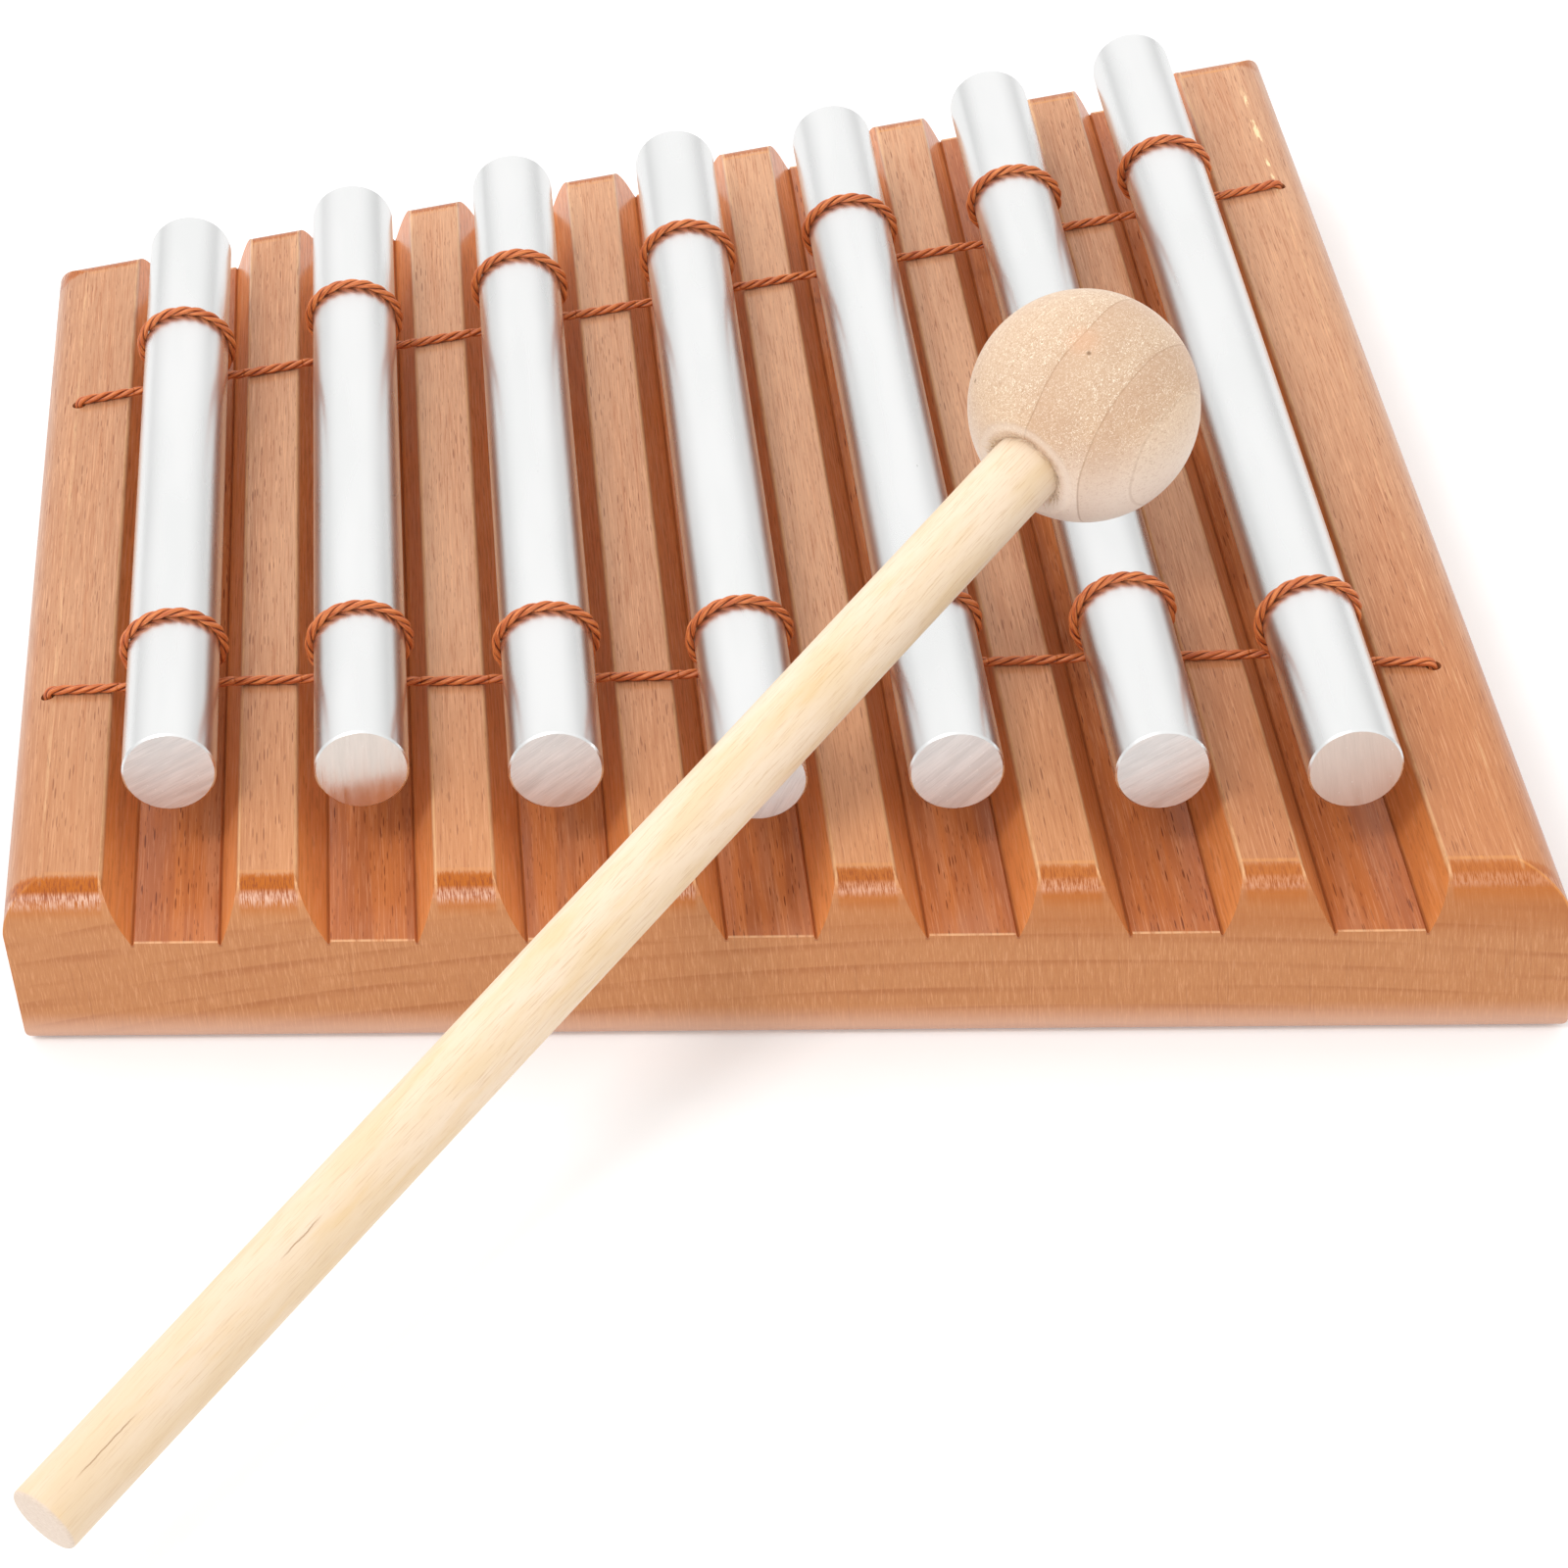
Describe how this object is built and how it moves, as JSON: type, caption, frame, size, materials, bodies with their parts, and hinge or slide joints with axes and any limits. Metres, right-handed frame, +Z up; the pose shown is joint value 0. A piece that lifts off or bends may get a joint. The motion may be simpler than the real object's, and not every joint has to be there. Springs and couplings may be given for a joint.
{
  "type": "rod chime",
  "caption": "Table chime: tuned solid metal rods laced with cord over the grooves of a tapered hardwood board, with a wooden ball mallet laid across them.",
  "frame": {"origin": "centre of the board's flat underside, at the middle of its width and depth", "axes": "+Z up; +Y away from the player, along the rods; +X towards the long, low-pitched rod"},
  "size_m": [0.1932, 0.2906, 0.067],
  "materials": {
    "board_wood": "satin lacquer over reddish hardwood",
    "rod_metal": "satin, drawn bar with saw-cut ends",
    "waxed_cord": "waxed, three-strand twist",
    "ball_wood": "bare, fine sanded",
    "handle_wood": "bare, fine sanded"
  },
  "bodies": {
    "base": {"base_board": "board_wood", "back_cord_runs": "waxed_cord", "front_cord_runs": "waxed_cord", "back_left_knot": "waxed_cord", "back_right_knot": "waxed_cord", "front_left_knot": "waxed_cord", "front_right_knot": "waxed_cord"},
    "slings_1": {"back_cord_sling_1": "waxed_cord", "front_cord_sling_1": "waxed_cord"},
    "rod_1": {"chime_rod_1": "rod_metal"},
    "slings_2": {"back_cord_sling_2": "waxed_cord", "front_cord_sling_2": "waxed_cord"},
    "rod_2": {"chime_rod_2": "rod_metal"},
    "slings_3": {"back_cord_sling_3": "waxed_cord", "front_cord_sling_3": "waxed_cord"},
    "rod_3": {"chime_rod_3": "rod_metal"},
    "slings_4": {"back_cord_sling_4": "waxed_cord", "front_cord_sling_4": "waxed_cord"},
    "rod_4": {"chime_rod_4": "rod_metal"},
    "slings_5": {"back_cord_sling_5": "waxed_cord", "front_cord_sling_5": "waxed_cord"},
    "rod_5": {"chime_rod_5": "rod_metal"},
    "slings_6": {"back_cord_sling_6": "waxed_cord", "front_cord_sling_6": "waxed_cord"},
    "rod_6": {"chime_rod_6": "rod_metal"},
    "slings_7": {"back_cord_sling_7": "waxed_cord", "front_cord_sling_7": "waxed_cord"},
    "rod_7": {"chime_rod_7": "rod_metal"},
    "mallet": {"mallet_head": "ball_wood", "mallet_handle": "handle_wood"}
  },
  "joints": [
    {"name": "rod_1_bounce", "type": "slide", "parent": "base", "child": "slings_1", "axis": [0, 0, 1], "range_m": [-0.0012, 0], "stiffness_N_per_m": 1500, "springref_m": 0.0006},
    {"name": "rod_2_bounce", "type": "slide", "parent": "base", "child": "slings_2", "axis": [0, 0, 1], "range_m": [-0.0012, 0], "stiffness_N_per_m": 1500, "springref_m": 0.0006},
    {"name": "rod_3_bounce", "type": "slide", "parent": "base", "child": "slings_3", "axis": [0, 0, 1], "range_m": [-0.0012, 0], "stiffness_N_per_m": 1500, "springref_m": 0.0006},
    {"name": "rod_4_bounce", "type": "slide", "parent": "base", "child": "slings_4", "axis": [0, 0, 1], "range_m": [-0.0012, 0], "stiffness_N_per_m": 1500, "springref_m": 0.0006},
    {"name": "rod_5_bounce", "type": "slide", "parent": "base", "child": "slings_5", "axis": [0, 0, 1], "range_m": [-0.0012, 0], "stiffness_N_per_m": 1500, "springref_m": 0.0006},
    {"name": "rod_6_bounce", "type": "slide", "parent": "base", "child": "slings_6", "axis": [0, 0, 1], "range_m": [-0.0012, 0], "stiffness_N_per_m": 1500, "springref_m": 0.0006},
    {"name": "rod_7_bounce", "type": "slide", "parent": "base", "child": "slings_7", "axis": [0, 0, 1], "range_m": [-0.0012, 0], "stiffness_N_per_m": 1500, "springref_m": 0.0006},
    {"name": "rod_1_roll", "type": "hinge", "parent": "slings_1", "child": "rod_1", "pos_m": [-0.07401, 0, 0.03063], "axis": [0, 1, 0], "continuous": true},
    {"name": "rod_2_roll", "type": "hinge", "parent": "slings_2", "child": "rod_2", "pos_m": [-0.04954, 0, 0.03063], "axis": [0, 1, 0], "continuous": true},
    {"name": "rod_3_roll", "type": "hinge", "parent": "slings_3", "child": "rod_3", "pos_m": [-0.02507, 0, 0.03063], "axis": [0, 1, 0], "continuous": true},
    {"name": "rod_4_roll", "type": "hinge", "parent": "slings_4", "child": "rod_4", "pos_m": [0.0001, 0, 0.03063], "axis": [0, 1, 0], "continuous": true},
    {"name": "rod_5_roll", "type": "hinge", "parent": "slings_5", "child": "rod_5", "pos_m": [0.02457, 0, 0.03063], "axis": [0, 1, 0], "continuous": true},
    {"name": "rod_6_roll", "type": "hinge", "parent": "slings_6", "child": "rod_6", "pos_m": [0.04974, 0, 0.03063], "axis": [0, 1, 0], "continuous": true},
    {"name": "rod_7_roll", "type": "hinge", "parent": "slings_7", "child": "rod_7", "pos_m": [0.07311, 0, 0.03063], "axis": [0, 1, 0], "continuous": true},
    {"name": "mallet_lift", "type": "slide", "parent": "base", "child": "mallet", "axis": [0, 0, 1], "range_m": [0, 0.08]}
  ]
}
